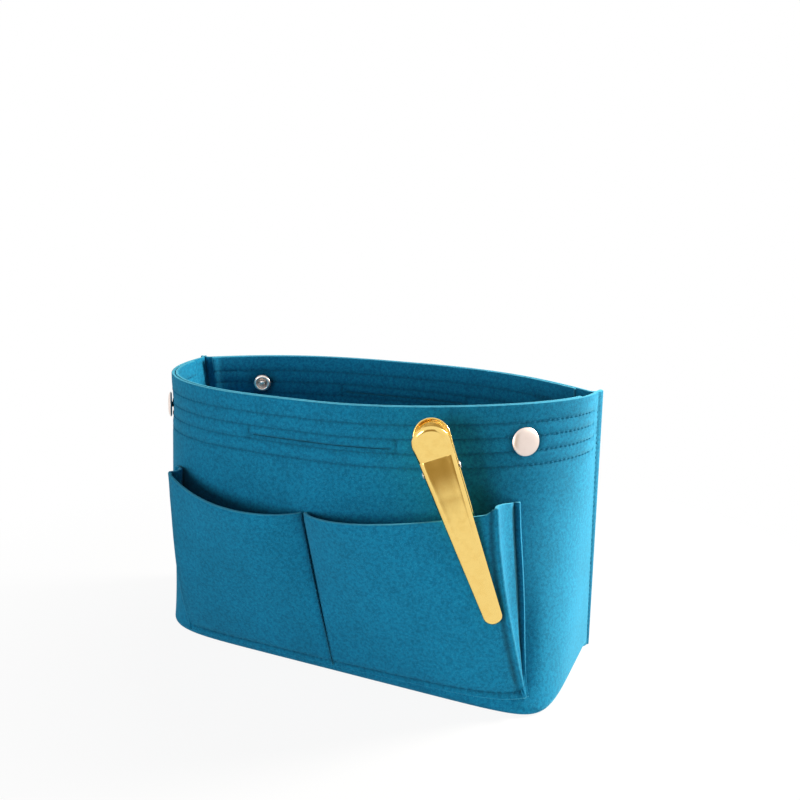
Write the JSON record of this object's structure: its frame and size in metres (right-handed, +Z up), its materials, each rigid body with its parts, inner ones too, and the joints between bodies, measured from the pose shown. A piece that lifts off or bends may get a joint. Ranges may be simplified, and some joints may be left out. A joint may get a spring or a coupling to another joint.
{
  "type": "felt handbag organizer insert",
  "caption": "Open felt organizer insert with a boxy base, lens-shaped mouth, bellows pockets in front, slip pockets inside, snap fasteners and a long sprung clip.",
  "frame": {"origin": "on the floor, in the middle of the overall box", "axes": "+X along the bag to the right, -Y out of the pocketed front, +Z up"},
  "size_m": [0.2634, 0.1393, 0.16],
  "materials": {
    "teal_felt": "pressed wool-like felt, matte with short fuzz",
    "snap_metal": "smooth nickel plate, slightly satin",
    "gold_metal": "bright gold plate",
    "steel_metal": "plain spring steel"
  },
  "bodies": {
    "bag": {"front_wall": "teal_felt", "back_wall": "teal_felt", "front_top_band": "teal_felt", "back_top_band": "teal_felt", "base_panel": "teal_felt", "left_pocket_front": "teal_felt", "right_pocket_front": "teal_felt", "left_pocket_gusset": "teal_felt", "right_pocket_gusset": "teal_felt", "front_inner_pocket": "teal_felt", "back_inner_pocket": "teal_felt", "front_left_snap_cap": "snap_metal", "front_left_snap_stud": "snap_metal", "front_right_snap_cap": "snap_metal", "front_right_snap_stud": "snap_metal", "back_left_snap_cap": "snap_metal", "back_left_snap_socket": "snap_metal", "back_right_snap_cap": "snap_metal", "back_right_snap_socket": "snap_metal", "clip_back_jaw": "gold_metal", "clip_hinge_pin": "steel_metal", "clip_spring": "steel_metal"},
    "clip_lever": {"clip_front_jaw": "gold_metal"}
  },
  "joints": [
    {"name": "clip_jaw_hinge", "type": "hinge", "parent": "bag", "child": "clip_lever", "pos_m": [0.07263, -0.05517, 0.13442], "axis": [-0.8849, -0.3301, -0.3285], "range_deg": [0, 34], "stiffness_Nm_per_rad": 0.3, "springref_deg": -17.19, "deforming": ["clip_spring"]}
  ]
}
